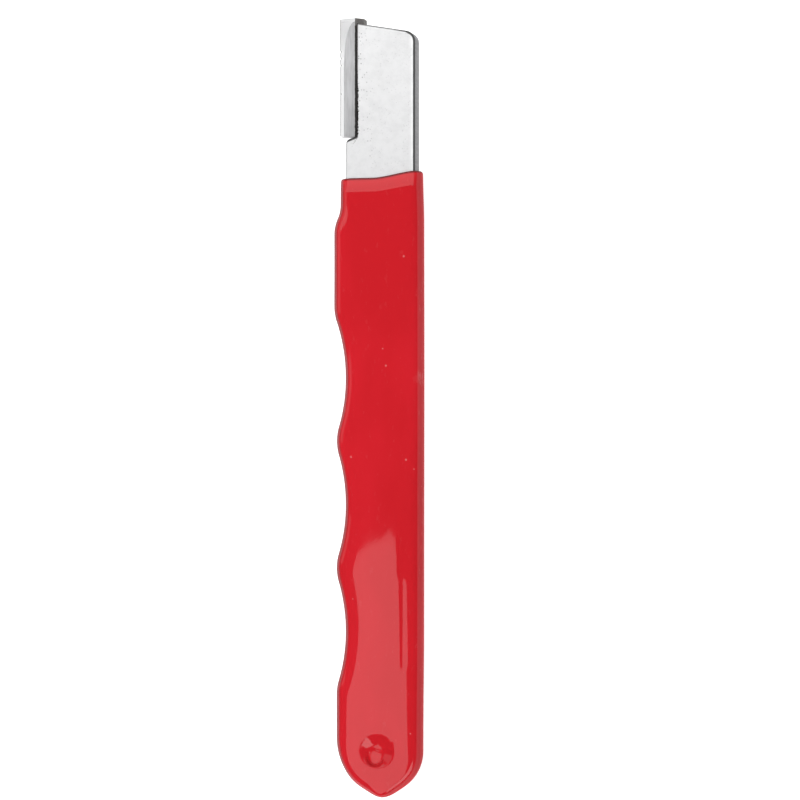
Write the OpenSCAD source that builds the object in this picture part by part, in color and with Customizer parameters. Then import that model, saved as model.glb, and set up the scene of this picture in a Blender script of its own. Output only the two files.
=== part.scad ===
// Pocket carbide sharpener: a stamped steel bar, a carbide insert brazed into its edge, and a
// dipped vinyl grip. The tool lies on its back: +Y runs toward the tip, +X to the right of the
// front face, +Z out of the front face. The origin is under the middle of the bounding box.

/* [Show] */
// Sub-part to build

/* [Overall] */
// Length from the drip at the butt to the top of the insert
overall_len = 120; // [115:0.5:130]
// Thickness of the steel strip
steel_t = 3.5; // [3.2:0.1:4]

/* [Blade] */
// Width of the steel strip
blade_w = 10.85; // [10.5:0.05:11.5]
// Drop of the top edge, in degrees, from the insert's side to the far side
tip_slope = 9.7; // [4:0.1:14]
// Radius of the far top corner
tip_corner_r = 1.6; // [0.8:0.1:2.5]
// How far the insert stands above the steel at the top
tip_setback = 0.92; // [0.5:0.01:1.5]
// How far the notch cuts in from the strip's edge
notch_depth = 1.72; // [1.4:0.01:2]
// Fall of the notch's floor toward the strip's edge, in degrees
notch_slope = 24.5; // [5:0.5:35]
// Radius of the notch's outer lip
notch_lip_r = 0.5; // [0.2:0.05:0.8]

/* [Insert] */
// Length of the carbide insert
insert_len = 18.3; // [15:0.1:20]
// Width of the carbide insert
insert_w = 3.97; // [3.7:0.01:4.3]
// Thickness of the carbide insert
insert_t = 2; // [1.8:0.05:2.2]
// How far the insert stands out past the strip's edge
insert_proud = 1.22; // [0.9:0.01:1.4]
// Width of the side bevel, across the front face
bevel_w = 0.8; // [0.5:0.05:1]
// Thickness left at the cutting edge
edge_land = 0.4; // [0.3:0.05:0.6]
// Width of the ellipse along which the bevel sweeps over the top
sweep_w = 1.74; // [1.2:0.02:2]
// Length of that ellipse
sweep_len = 6.6; // [4:0.1:9]
// Flats that make up the sweep
sweep_flats = 3; // [2:1:4]

/* [Braze] */
// Thickness of the film between insert and slot
braze_gap = 0.1; // [0.05:0.01:0.2]
// Width of the fillet along the slot's lips
braze_fillet_w = 0.45; // [0.3:0.01:0.6]
// Height of that fillet
braze_fillet_h = 0.5; // [0.3:0.01:0.6]

/* [Tang] */
// Height of the hang hole's centre above the butt
hole_y = 7.1; // [6.9:0.05:7.6]
// Radius of the hang hole in the steel
hole_r = 3.2; // [2.8:0.1:3.6]
// Height of the lowest finger scallop's centre
scallop_y = 25.5; // [25:0.1:26]
// Distance between finger scallops
scallop_pitch = 19.55; // [19:0.05:19.8]
// Number of finger scallops
scallops = 3; // [2:1:3]
// Depth of the scallops, below the lower crests
scallop_depth = 1.43; // [1.2:0.01:1.6]
// Radius of the scallops, on the outside of the grip
scallop_r = 26.5; // [24:0.5:28]
// How far the lower crests stand out past the strip's edge
crest_out = 0.63; // [0.4:0.01:0.9]
// How far the top crest stands out past the strip's edge
top_crest_out = 1.03; // [0.8:0.01:1.3]
// Height at which the shoulder under the blade begins
shoulder_y = 86.6; // [86:0.1:88]

/* [Grip] */
// Thickness of the vinyl on the strip's edges
coat_side = 1.05; // [0.9:0.01:1.2]
// Thickness of the vinyl on the strip's faces
coat_face = 0.65; // [0.55:0.01:0.8]
// Width over which the faces roll off into the sides
roll_w = 1.9; // [1.5:0.05:2.2]
// Height of that roll-off
roll_h = 1.9; // [1.5:0.05:2.2]
// Height of the grip's top rim, on the insert's side
rim_y = 94.85; // [93:0.05:97]
// How much higher the rim stands on the far side
rim_rise = 1.35; // [0.2:0.05:2]
// Radius of the rim's corners
rim_corner_r = 0.5; // [0.3:0.05:0.9]
// Radius of the dimples in the web that closes the hang hole
dimple_r = 2.65; // [2.2:0.05:2.9]
// Depth of each dimple
dimple_depth = 1.3; // [0.6:0.05:1.6]
// Spread of the drip at the butt, in degrees about the hang hole
drip_w = 17.7; // [8:0.1:25]
// Sideways lean of the drip, in degrees
drip_a = 2; // [-8:0.5:8]

/* [Hidden] */
$fn = 96;
eps = 0.5;

half_w = blade_w / 2;
grip_t = steel_t + 2 * coat_face;
mid_z = grip_t / 2;
skin_l = half_w + coat_side;
skin_r = half_w + coat_side;

// outer x of the crests and scallops, as distances to the left of the strip's centreline
crest_x = skin_l + crest_out;
top_crest_x = skin_l + top_crest_out;
valley_x = crest_x - scallop_depth;

// the tool's frame is centred on its bounding box
shift = [(top_crest_x - skin_r) / 2, -overall_len / 2, 0];

// insert and slot
insert_x0 = -half_w - insert_proud;
insert_x1 = insert_x0 + insert_w;
insert_y0 = overall_len - insert_len;
notch_x = -half_w + notch_depth;
notch_y = insert_y0 - braze_gap;
slot_t = insert_t + 2 * braze_gap;
slot_x = insert_x1 + braze_gap;
tip_y = overall_len - tip_setback;

// a scallop and a crest are arcs that meet tangentially: their radii add up to this
arc_sum = (pow(scallop_pitch / 2, 2) + pow(scallop_depth, 2)) / (2 * scallop_depth);
crest_r = arc_sum - scallop_r;
shoulder_r = [6, 5.6];
top_valley_y = scallop_y + (scallops - 1) * scallop_pitch;

// the butt is an arc about the hang hole, and a wider arc blends it into the lowest crest
butt_r = half_w + coat_side;
blend_a = 215;
blend_r = (crest_x + butt_r * cos(blend_a)) / (1 + cos(blend_a));
blend_c = [0, hole_y] - (blend_r - butt_r) * [cos(blend_a), sin(blend_a)];

function reach(sum, d) = sqrt(2 * sum * d - d * d);
function steps(a, b, n) = [for (i = [0:n]) a + (b - a) * i / n];
function inner(list) = [for (i = [1:len(list) - 1]) list[i]];
function smooth(s) = s <= 0 ? 0 : s >= 1 ? 1 : s * s * (3 - 2 * s);
function rim_at(x) = rim_y + rim_rise * smooth((x + 1.5) / (skin_r + 1.5));

// An outline point is [centre x, centre y, radius, angle, side, miter]. side is 1 on a convex arc
// and -1 in a hollow, and a straight edge is an arc of radius 0 whose centre is on the edge.
function arc(c, r, a, side = 1) = [for (t = a) [c[0], c[1], r, t, side, 1]];
function corner(c, r, a) = [for (t = a) [c[0], c[1], r, t, 1, sqrt(2)]];
function edge(x, y, a) = [x, y, 0, a, 1, 1];

// the point's place after the outline is drawn in by d
function drawn_in(p, d) =
    let (kept = p[5] > 1 ? max(p[2] - d, 0.1 * p[2]) : p[2] - p[4] * d,
         slid = p[5] > 1 ? max(d - 0.9 * p[2], 0) : 0,
         to = p[0] > 0 ? 45 : 135)
    [p[0] + kept * cos(p[3]) - p[5] * slid * cos(to),
     p[1] + kept * sin(p[3]) - p[5] * slid * sin(to)];

// finger side of the grip, from the butt upward
scallop_a = asin(scallop_pitch / 2 / arc_sum);
low_reach = reach(arc_sum, scallop_depth);
top_depth = top_crest_x - valley_x;
top_reach = reach(arc_sum, top_depth);
low_a = asin(low_reach / arc_sum);
top_a = asin(top_reach / arc_sum);
shoulder_d = top_crest_x - skin_l;
shoulder_sum = shoulder_r[0] + shoulder_r[1];
shoulder_h = reach(shoulder_sum, shoulder_d);
shoulder_a = asin(shoulder_h / shoulder_sum);
corner_l = [-skin_l + rim_corner_r, rim_y - rim_corner_r];
corner_r = [skin_r - rim_corner_r, rim_at(skin_r) - rim_corner_r];

function hollow(i) =
    arc([-valley_x - scallop_r, scallop_y + i * scallop_pitch], scallop_r,
        inner(steps(i == 0 ? -low_a : -scallop_a, i == scallops - 1 ? top_a : scallop_a, 8)), -1);
function crest(i) =
    arc([-crest_x + crest_r, scallop_y + (i + 0.5) * scallop_pitch], crest_r,
        inner(steps(180 + scallop_a, 180 - scallop_a, 6)));

// the butt's own arc swells into the drip, which reaches down to the tool's lowest point
function swell(a) = (hole_y - butt_r) * exp(-pow((a - 270 - drip_a) / drip_w, 2));
function butt(a) = [for (t = a) [0, hole_y, butt_r + swell(t), t, 1, 1]];

butt_l = concat(butt(steps(268.6 + drip_a, blend_a, 14)),
                arc(blend_c, blend_r, inner(steps(blend_a, 180, 5))));
side_l = concat(
    arc([-crest_x + crest_r, scallop_y - low_reach], crest_r, steps(180, 180 - low_a, 4)),
    [for (i = [0:scallops - 1]) each concat(hollow(i), i < scallops - 1 ? crest(i) : [])],
    arc([-top_crest_x + crest_r, top_valley_y + top_reach], crest_r,
        inner(steps(180 + top_a, 180, 4))),
    arc([-top_crest_x + shoulder_r[0], shoulder_y], shoulder_r[0],
        steps(180, 180 - shoulder_a, 4)),
    arc([-skin_l - shoulder_r[1], shoulder_y + shoulder_h], shoulder_r[1],
        inner(steps(-shoulder_a, 0, 4)), -1));
rim_l = [for (x = inner(steps(-skin_l + rim_corner_r, -0.15, 4))) edge(x, rim_at(x), 90)];
chain_l = concat(butt_l, side_l, corner(corner_l, rim_corner_r, steps(180, 90, 3)), rim_l);

// far side, point for point with the finger side
rim_r = [for (x = inner(steps(skin_r - rim_corner_r, 0.15, 4))) edge(x, rim_at(x), 90)];
chain_r = concat(butt(steps(271.4 + drip_a, 360, len(butt_l) - 1)),
                 [for (p = side_l) edge(skin_r, drawn_in(p, 0)[1], 0)],
                 corner(corner_r, rim_corner_r, steps(0, 90, 3)), rim_r);

// roll-off levels from back to front: [how far the outline is drawn in, height]
rolls = [for (a = [0:18:90]) [roll_w * (1 - cos(a)), roll_h * (1 - sin(a))]];
levels = concat([for (i = [5:-1:0]) rolls[i]],
                [for (i = [0:5]) [rolls[i][0], grip_t - rolls[i][1]]]);

// Steel outline without the rounded corners
module strip_outline() {
    difference() {
        union() {
            translate([0, hole_y]) circle(r = half_w);
            polygon([
                [half_w, hole_y],
                [half_w, tip_y - (half_w - notch_x) * tan(tip_slope)],
                [notch_x, tip_y],
                [notch_x, notch_y],
                [-half_w, notch_y - notch_depth * tan(notch_slope)],
                [-half_w, shoulder_y + 3.8],
                [-half_w - top_crest_out, shoulder_y + 1],
                [-half_w - top_crest_out, top_valley_y],
                [-half_w - crest_out, top_valley_y],
                [-half_w - crest_out, hole_y + 5.4],
                [-half_w, hole_y]
            ]);
        }
        for (i = [0:scallops - 1])
            translate([-valley_x - scallop_r, scallop_y + i * scallop_pitch])
                circle(r = scallop_r + coat_side);
        translate([0, hole_y]) circle(r = hole_r);
    }
}

// What a corner loses when it is rounded: p is the corner, and a and b the directions of its edges
module corner_waste(p, a, b, r) {
    half = (b - a) / 2;
    run = r / tan(half);
    centre = p + r / sin(half) * [cos(a + half), sin(a + half)];
    difference() {
        polygon([p, p + run * [cos(a), sin(a)], centre, p + run * [cos(b), sin(b)]]);
        translate(centre) circle(r = r);
    }
}

module steel_shape() {
    slot_h = overall_len - notch_y + eps;
    difference() {
        translate([0, 0, coat_face]) linear_extrude(steel_t)
            difference() {
                strip_outline();
                corner_waste([half_w, tip_y - (half_w - notch_x) * tan(tip_slope)],
                             180 - tip_slope, 270, tip_corner_r);
                corner_waste([-half_w, notch_y - notch_depth * tan(notch_slope)],
                             270, 360 + notch_slope, notch_lip_r);
            }
        translate([notch_x - eps, notch_y, mid_z - slot_t / 2])
            cube([slot_x - notch_x + eps, slot_h, slot_t]);
    }
}

// Upper half of what the sweeping bevel grinds off, as flats tangent to the ellipse's chords
module sweep_waste() {
    c = [insert_x0 + bevel_w + sweep_w, overall_len - 0.54 - sweep_len];
    for (i = [0:sweep_flats - 1]) {
        a = 90 * i / sweep_flats;
        b = 90 * (i + 1) / sweep_flats;
        p = c + [-sweep_w * cos(a), sweep_len * sin(a)];
        q = c + [-sweep_w * cos(b), sweep_len * sin(b)];
        heading = atan2(q[1] - p[1], q[0] - p[0]);
        far = min(q[0] - insert_x0, overall_len - p[1]) * (i == 0 ? 1 : sin(heading));
        tilt = atan((insert_t - edge_land) / 2 / max(far, bevel_w));
        translate([p[0], p[1], insert_t / 2]) rotate([0, 0, heading]) rotate([tilt, 0, 0])
            translate([-12, 0, 0]) cube([24, 8, 3]);
    }
}

module insert_shape() {
    land = edge_land / 2;
    top = insert_t / 2;
    translate([0, 0, mid_z]) difference() {
        intersection() {
            translate([0, overall_len, 0]) rotate([90, 0, 0]) linear_extrude(insert_len)
                polygon([
                    [insert_x0, -land], [insert_x0 + bevel_w, -top], [insert_x1, -top],
                    [insert_x1, top], [insert_x0 + bevel_w, top], [insert_x0, land]
                ]);
            translate([0, 0, -insert_t]) linear_extrude(2 * insert_t)
                polygon([
                    [insert_x0, insert_y0 + 0.25], [insert_x0 + 0.25, insert_y0],
                    [insert_x1, insert_y0], [insert_x1, overall_len - 0.4],
                    [notch_x - 0.4, overall_len - 0.2], [notch_x - 0.6, overall_len],
                    [insert_x0 + 0.15, overall_len], [insert_x0, overall_len - 0.15]
                ]);
        }
        sweep_waste();
        mirror([0, 0, 1]) sweep_waste();
    }
}

// The dipped skin: each ring runs over the finger side, across the front, down the far side and
// back, and the rings follow each other from the butt to the rim
module skin_shape() {
    n = len(levels);
    m = len(chain_l);
    ring = 2 * n;
    points = [for (i = [0:m - 1]) each concat(
        [for (k = [0:n - 1]) let (p = drawn_in(chain_l[i], levels[k][0])) [p[0], p[1], levels[k][1]]],
        [for (k = [n - 1:-1:0]) let (p = drawn_in(chain_r[i], levels[k][0])) [p[0], p[1], levels[k][1]]])];
    bands = [for (i = [0:m - 2]) each [for (j = [0:ring - 1])
        let (a = i * ring + j, b = i * ring + (j + 1) % ring)
        each [[a, b + ring, b], [a, a + ring, b + ring]]]];
    butt_end = [for (k = [0:n - 2]) let (a = k, b = ring - 1 - k)
        each [[a, b - 1, b], [a, a + 1, b - 1]]];
    rim_end = [for (k = [0:n - 2]) let (a = (m - 1) * ring + k, b = m * ring - 1 - k)
        each [[a, b, b - 1], [a, b - 1, a + 1]]];
    polyhedron(points = points, faces = concat(bands, butt_end, rim_end), convexity = 6);
}

module steel_body() {
    color([0.82, 0.82, 0.83]) translate(shift) steel_shape();
}

module carbide_insert() {
    color([0.5, 0.51, 0.53]) translate(shift) insert_shape();
}

module braze_joint() {
    side = insert_t / 2;
    rise = tip_y - 0.25 - notch_y;
    color([0.3, 0.26, 0.2]) translate(shift) difference() {
        union() {
            translate([notch_x, notch_y, mid_z - slot_t / 2])
                cube([slot_x - notch_x, rise, slot_t]);
            for (s = [0, 1])
                translate([0, notch_y + rise, mid_z]) mirror([0, 0, s]) rotate([90, 0, 0])
                    linear_extrude(rise - braze_gap)
                        polygon([
                            [notch_x - braze_fillet_w, side], [notch_x, side],
                            [notch_x, side + braze_fillet_h]
                        ]);
        }
        insert_shape();
    }
}

module vinyl_grip() {
    bowl_r = (pow(dimple_r, 2) + pow(dimple_depth, 2)) / (2 * dimple_depth);
    color([0.72, 0.05, 0.07]) translate(shift) difference() {
        skin_shape();
        steel_shape();
        translate([0, hole_y, grip_t - dimple_depth + bowl_r]) sphere(r = bowl_r);
        translate([0, hole_y, dimple_depth - bowl_r]) sphere(r = bowl_r);
    }
}

steel_body();
carbide_insert();
braze_joint();
vinyl_grip();
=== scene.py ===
"""Pocket carbide sharpener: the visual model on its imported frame, and a plain studio around it.

The tool lies on its back. Lengths in the classes are millimetres measured on the tool itself:
x from the strip's centreline, y up from the butt, z up from the back of the grip. A Datum carries
them into the frame's metres.
"""

from __future__ import annotations

import functools
import logging
import math
from collections.abc import Iterable, Sequence
from dataclasses import dataclass
from enum import Enum

import bmesh
import bpy
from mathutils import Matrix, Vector, noise


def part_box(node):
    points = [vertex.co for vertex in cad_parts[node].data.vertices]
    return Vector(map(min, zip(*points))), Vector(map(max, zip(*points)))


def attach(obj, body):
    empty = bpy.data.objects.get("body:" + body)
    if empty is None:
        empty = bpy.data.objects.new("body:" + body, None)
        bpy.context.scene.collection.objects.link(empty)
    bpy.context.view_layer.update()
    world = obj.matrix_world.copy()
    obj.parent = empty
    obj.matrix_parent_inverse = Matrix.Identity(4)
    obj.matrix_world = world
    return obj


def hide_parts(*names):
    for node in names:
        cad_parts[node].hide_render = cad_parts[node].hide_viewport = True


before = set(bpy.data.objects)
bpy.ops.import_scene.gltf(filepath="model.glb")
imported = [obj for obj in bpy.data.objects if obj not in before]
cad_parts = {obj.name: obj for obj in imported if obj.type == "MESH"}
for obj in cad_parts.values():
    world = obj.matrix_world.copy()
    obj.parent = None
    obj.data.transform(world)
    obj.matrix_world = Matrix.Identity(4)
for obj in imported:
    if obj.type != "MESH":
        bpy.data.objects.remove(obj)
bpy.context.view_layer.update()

MM = 0.001
log = logging.getLogger("sharpener")


class Side(Enum):
    """Face of the tool that a detail is on."""

    FRONT = 1
    BACK = -1


class Bend(Enum):
    """Way in which a stretch of outline bends, seen from outside."""

    CREST = 1
    HOLLOW = -1


@dataclass(frozen=True)
class Datum:
    """Offset from the tool's own millimetres to the frame.

    Attributes:
        x: frame x of the strip's centreline, in millimetres.
        y: frame y of the butt, in millimetres.
    """

    x: float
    y: float

    @classmethod
    def from_steel(cls, half_width: float, butt_gap: float) -> Datum:
        """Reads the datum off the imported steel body.

        Args:
            half_width: half the strip's width.
            butt_gap: height of the steel's lowest point above the butt.

        Returns:
            The datum that puts the strip's far edge and lower end where the frame has them.
        """
        low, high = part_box("steel_body")
        return cls(high[0] / MM - half_width, low[1] / MM - butt_gap)

    def place(self, x: float, y: float, z: float) -> Vector:
        """Turns a spot on the tool into frame metres.

        Args:
            x: millimetres from the centreline.
            y: millimetres above the butt.
            z: millimetres above the back.

        Returns:
            The spot in the frame.
        """
        return Vector(((x + self.x) * MM, (y + self.y) * MM, z * MM))


def smooth(share: float) -> float:
    """Eases a share from 0 to 1 with level ends."""
    share = min(max(share, 0.0), 1.0)
    return share * share * (3.0 - 2.0 * share)


def blend(a: float, b: float, share: float) -> float:
    """Mixes two lengths by a share."""
    return a + (b - a) * share


def spread(a: float, b: float, count: int, first: bool = True) -> list[float]:
    """Spaces values evenly.

    Args:
        a: first value.
        b: last value.
        count: number of steps between them.
        first: whether the first value is kept.

    Returns:
        The values from a to b.
    """
    return [blend(a, b, i / count) for i in range(0 if first else 1, count + 1)]


def arc(
    x: float, y: float, radius: float, start: float, end: float, count: int
) -> list[tuple[float, float]]:
    """Lists points along an arc.

    Args:
        x: centre's x.
        y: centre's y.
        radius: arc's radius.
        start: first angle in degrees.
        end: last angle in degrees.
        count: number of steps.

    Returns:
        The points, both ends included.
    """
    turn = [math.radians(a) for a in spread(start, end, count)]
    return [(x + radius * math.cos(a), y + radius * math.sin(a)) for a in turn]


def shade(colour: tuple[float, float, float], share: float) -> tuple[float, float, float]:
    """Darkens or lightens a colour by a factor."""
    return tuple(channel * share for channel in colour)


def ring_edges(
    bm: bmesh.types.BMesh, ring: Sequence[bmesh.types.BMVert]
) -> list[bmesh.types.BMEdge]:
    """Finds the edges between neighbours on a closed ring of vertices."""
    return [bm.edges.get((v, ring[i - 1])) for i, v in enumerate(ring)]


def sweep(
    bm: bmesh.types.BMesh,
    ring: list[bmesh.types.BMVert],
    rows: Iterable[Sequence[Vector]],
) -> list[bmesh.types.BMVert]:
    """Extrudes a closed ring from row to row.

    Args:
        bm: mesh being built.
        ring: vertices of the last ring, in order.
        rows: places for each new ring, in the same order.

    Returns:
        The vertices of the final ring.
    """
    for spots in rows:
        grown = bmesh.ops.extrude_edge_only(bm, edges=ring_edges(bm, ring))["geom"]
        lit_bevel = {g for g in grown if isinstance(g, bmesh.types.BMVert)}
        ring = [
            next(e.other_vert(v) for e in v.link_edges if e.other_vert(v) in lit_bevel)
            for v in ring
        ]
        for vert, spot in zip(ring, spots, strict=True):
            vert.co = spot
    return ring


def first_ring(bm: bmesh.types.BMesh, spots: Sequence[Vector]) -> list[bmesh.types.BMVert]:
    """Starts a sweep with a circle bent to the first row.

    Args:
        bm: mesh being built.
        spots: places of the first ring.

    Returns:
        The ring's vertices in order.
    """
    ring = bmesh.ops.create_circle(bm, segments=len(spots), radius=1.0)["verts"]
    for vert, spot in zip(ring, spots, strict=True):
        vert.co = spot
    return list(ring)


def sweep_bar(rows: Sequence[Sequence[Vector]]) -> bmesh.types.BMesh:
    """Sweeps a ring into a bar and caps both its ends.

    Args:
        rows: places of every ring, in the same order.

    Returns:
        The mesh, with outward normals.
    """
    bm = bmesh.new()
    start = first_ring(bm, rows[0])
    bmesh.ops.contextual_create(bm, geom=ring_edges(bm, start))
    end = sweep(bm, start, rows[1:])
    bmesh.ops.contextual_create(bm, geom=ring_edges(bm, end))
    bmesh.ops.recalc_face_normals(bm, faces=bm.faces)
    return bm


def make_piece(bm: bmesh.types.BMesh, name: str, crease: float = 35.0) -> bpy.types.Object:
    """Closes a bmesh into a linked object at the origin.

    Args:
        bm: mesh to keep; it is freed.
        name: object's name.
        crease: angle in degrees above which an edge stays sharp.

    Returns:
        The new object, with outward normals and smooth faces.
    """
    bmesh.ops.remove_doubles(bm, verts=bm.verts, dist=2e-7)
    bmesh.ops.dissolve_degenerate(bm, edges=bm.edges, dist=1e-8)
    bmesh.ops.recalc_face_normals(bm, faces=bm.faces)
    mesh = bpy.data.meshes.new(name)
    bm.to_mesh(mesh)
    bm.free()
    piece = bpy.data.objects.new(name, mesh)
    bpy.context.scene.collection.objects.link(piece)
    soften(piece, crease)
    return piece


def soften(piece: bpy.types.Object, crease: float) -> None:
    """Smooths a piece's faces and keeps its sharp edges sharp."""
    piece.data.polygons.foreach_set("use_smooth", [True] * len(piece.data.polygons))
    piece.data.set_sharp_from_angle(angle=math.radians(crease))


def give_finish(piece: bpy.types.Object, material: bpy.types.Material) -> None:
    """Makes one material a piece's only one."""
    piece.data.materials.clear()
    piece.data.materials.append(material)


def settle(piece: bpy.types.Object) -> None:
    """Applies a piece's modifiers to its mesh."""
    graph = bpy.context.evaluated_depsgraph_get()
    done = bpy.data.meshes.new_from_object(piece.evaluated_get(graph))
    piece.modifiers.clear()
    old = piece.data
    piece.data = done
    done.name = piece.name
    bpy.data.meshes.remove(old)


def carve(piece: bpy.types.Object, tool: bpy.types.Object, crease: float) -> None:
    """Takes one piece away from another.

    Args:
        piece: piece that is cut.
        tool: shape that cuts it.
        crease: angle in degrees above which an edge stays sharp.
    """
    knife = piece.modifiers.new("knife", "BOOLEAN")
    knife.operation = "DIFFERENCE"
    knife.solver = "EXACT"
    knife.object = tool
    settle(piece)
    soften(piece, crease)


def discard(tool: bpy.types.Object) -> None:
    """Removes a shape that was only there to cut with."""
    mesh = tool.data
    bpy.data.objects.remove(tool)
    bpy.data.meshes.remove(mesh)


class Bench:
    """Lays out the nodes of one material and joins them."""

    def __init__(self, name: str) -> None:
        """Starts a material with one principled shader on Object coordinates."""
        self.material = bpy.data.materials.new(name)
        self.material.use_nodes = True
        self.tree = self.material.node_tree
        self.shader = self.tree.nodes["Principled BSDF"]
        coords = self.tree.nodes.new("ShaderNodeTexCoord")
        self.spot = coords.outputs["Object"]
        self.normal = coords.outputs["Normal"]

    def put(self, socket: bpy.types.NodeSocket, value: object) -> None:
        """Joins a socket to another, or sets its value."""
        if isinstance(value, bpy.types.NodeSocket):
            self.tree.links.new(value, socket)
        else:
            socket.default_value = value

    def set(self, **values: object) -> None:
        """Sets the shader's sockets, by name with underscores for spaces."""
        for name, value in values.items():
            self.put(self.shader.inputs[name.replace("_", " ")], value)

    def math(
        self, kind: str, a: object, b: object = 0.0, c: object = 0.0, clamp: bool = False
    ) -> bpy.types.NodeSocket:
        """Adds a Math node.

        Args:
            kind: operation.
            a: first value or socket.
            b: second value or socket.
            c: third value or socket.
            clamp: whether the result is kept between 0 and 1.

        Returns:
            The node's output.
        """
        node = self.tree.nodes.new("ShaderNodeMath")
        node.operation = kind
        node.use_clamp = clamp
        self.put(node.inputs[0], a)
        self.put(node.inputs[1], b)
        self.put(node.inputs[2], c)
        return node.outputs[0]

    def times(self, *values: object) -> bpy.types.NodeSocket:
        """Multiplies values together."""
        return functools.reduce(functools.partial(self.math, "MULTIPLY"), values)

    def plus(self, *values: object) -> bpy.types.NodeSocket:
        """Adds values together."""
        return functools.reduce(functools.partial(self.math, "ADD"), values)

    def most(self, *values: object) -> bpy.types.NodeSocket:
        """Takes the greatest of some values."""
        return functools.reduce(functools.partial(self.math, "MAXIMUM"), values)

    def past(self, index: int, mark: float) -> bpy.types.NodeSocket:
        """Measures how far a spot lies past a mark.

        Args:
            index: axis, 0 for x and 1 for y.
            mark: place of the mark in the frame, in millimetres.

        Returns:
            The distance in metres.
        """
        return self.math("SUBTRACT", self.axis(self.spot, index), mark * MM)

    def ramp(
        self, value: object, low: float, high: float, a: float = 0.0, b: float = 1.0
    ) -> bpy.types.NodeSocket:
        """Eases a value from a to b while it goes from low to high.

        Args:
            value: socket that is read.
            low: reading at which the ramp starts.
            high: reading at which it ends.
            a: result at the start.
            b: result at the end.

        Returns:
            The eased value.
        """
        node = self.tree.nodes.new("ShaderNodeMapRange")
        node.interpolation_type = "SMOOTHSTEP"
        for socket, number in zip(node.inputs[:5], (value, low, high, a, b), strict=True):
            self.put(socket, number)
        return node.outputs[0]

    def axis(self, source: bpy.types.NodeSocket, index: int) -> bpy.types.NodeSocket:
        """Takes one component of a vector."""
        node = self.tree.nodes.new("ShaderNodeSeparateXYZ")
        self.put(node.inputs[0], source)
        return node.outputs[index]

    def stretched(self, scale: tuple[float, float, float]) -> bpy.types.NodeSocket:
        """Scales Object coordinates along each axis."""
        node = self.tree.nodes.new("ShaderNodeMapping")
        self.put(node.inputs["Vector"], self.spot)
        node.inputs["Scale"].default_value = scale
        return node.outputs[0]

    def noise(
        self,
        grain: float,
        detail: float = 3.0,
        rough: float = 0.55,
        stretch: tuple[float, float, float] = (1.0, 1.0, 1.0),
    ) -> bpy.types.NodeSocket:
        """Adds noise.

        Args:
            grain: size of its features in millimetres.
            detail: number of octaves.
            rough: strength of the finer octaves.
            stretch: scale along each axis, where less than 1 draws features out.

        Returns:
            The noise, about 0.5.
        """
        node = self.tree.nodes.new("ShaderNodeTexNoise")
        self.put(node.inputs["Vector"], self.stretched(stretch))
        node.inputs["Scale"].default_value = 1.0 / (grain * MM)
        node.inputs["Detail"].default_value = detail
        node.inputs["Roughness"].default_value = rough
        return node.outputs[0]

    def specks(self, apart: float, size: float) -> bpy.types.NodeSocket:
        """Adds scattered round specks.

        Args:
            apart: distance between them in millimetres.
            size: radius of each as a share of that distance.

        Returns:
            1 at a speck's middle, falling to 0 at its edge.
        """
        node = self.tree.nodes.new("ShaderNodeTexVoronoi")
        self.put(node.inputs["Vector"], self.spot)
        node.inputs["Scale"].default_value = 1.0 / (apart * MM)
        return self.ramp(node.outputs["Distance"], 0.0, size, 1.0, 0.0)

    def round_spot(self, at: Vector, radius: float) -> bpy.types.NodeSocket:
        """Marks a round spot in plan.

        Args:
            at: its middle; its height doesn't matter.
            radius: its radius in millimetres.

        Returns:
            1 at its middle, falling to 0 at its edge.
        """
        apart = [
            self.math("POWER", self.math("SUBTRACT", self.axis(self.spot, i), at[i]), 2.0)
            for i in range(2)
        ]
        away = self.math("SQRT", self.plus(*apart))
        return self.ramp(away, 0.3 * radius * MM, radius * MM, 1.0, 0.0)

    def mix(self, share: object, a: object, b: object) -> bpy.types.NodeSocket:
        """Mixes two colours by a share."""
        node = self.tree.nodes.new("ShaderNodeMix")
        node.data_type = "RGBA"
        self.put(node.inputs["Factor"], share)
        for socket, colour in zip((node.inputs[6], node.inputs[7]), (a, b), strict=True):
            self.put(socket, (*colour, 1.0) if isinstance(colour, tuple) else colour)
        return node.outputs[2]

    def bump(
        self, height: object, depth: float, under: object = None, strength: float = 1.0
    ) -> bpy.types.NodeSocket:
        """Adds relief.

        Args:
            height: socket with the relief, 0 to 1.
            depth: height of 1, in millimetres.
            under: relief that this one lies on, if any.
            strength: share of the relief that is used.

        Returns:
            The bent normal.
        """
        node = self.tree.nodes.new("ShaderNodeBump")
        node.inputs["Strength"].default_value = strength
        node.inputs["Distance"].default_value = depth * MM
        self.put(node.inputs["Height"], height)
        if under is not None:
            self.put(node.inputs["Normal"], under)
        return node.outputs[0]


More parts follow.
